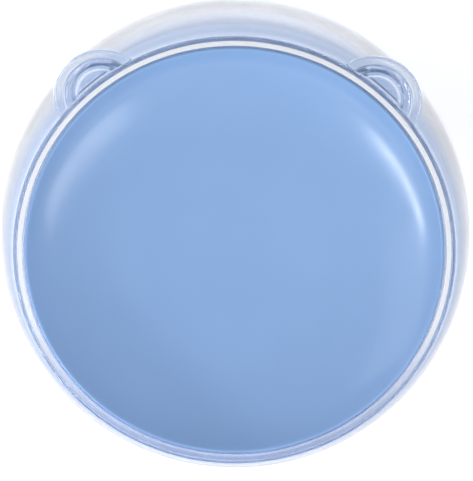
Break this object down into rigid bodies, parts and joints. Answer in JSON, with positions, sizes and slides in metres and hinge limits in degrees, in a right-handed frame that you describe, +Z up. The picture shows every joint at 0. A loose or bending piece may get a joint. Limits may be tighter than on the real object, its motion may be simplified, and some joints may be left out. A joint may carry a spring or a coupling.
{
  "type": "tilted bowl with clear stand",
  "caption": "Shallow round bowl that lifts out of a clear dome-shaped stand with a tilted rim, rounded ears on its high side and a soft anti-slip ring round its lower edge.",
  "frame": {"origin": "centre of the base on the table", "axes": "+Z up; +Y towards the high side that carries the ears; +X to the right seen from the low side"},
  "size_m": [0.16, 0.16, 0.0843],
  "materials": {
    "clear_plastic": "clear, polished, faintly lilac-blue in the thick",
    "blue_plastic": "smooth moulded, soft gloss",
    "clear_rubber": "translucent silicone, satin"
  },
  "bodies": {
    "stand": {"clear_stand": "clear_plastic", "anti_slip_ring": "clear_rubber"},
    "bowl": {"inner_bowl": "blue_plastic"}
  },
  "joints": [
    {"name": "bowl_lift", "type": "slide", "parent": "stand", "child": "bowl", "axis": [0, -0.2588, 0.9659], "range_m": [0, 0.09]}
  ]
}
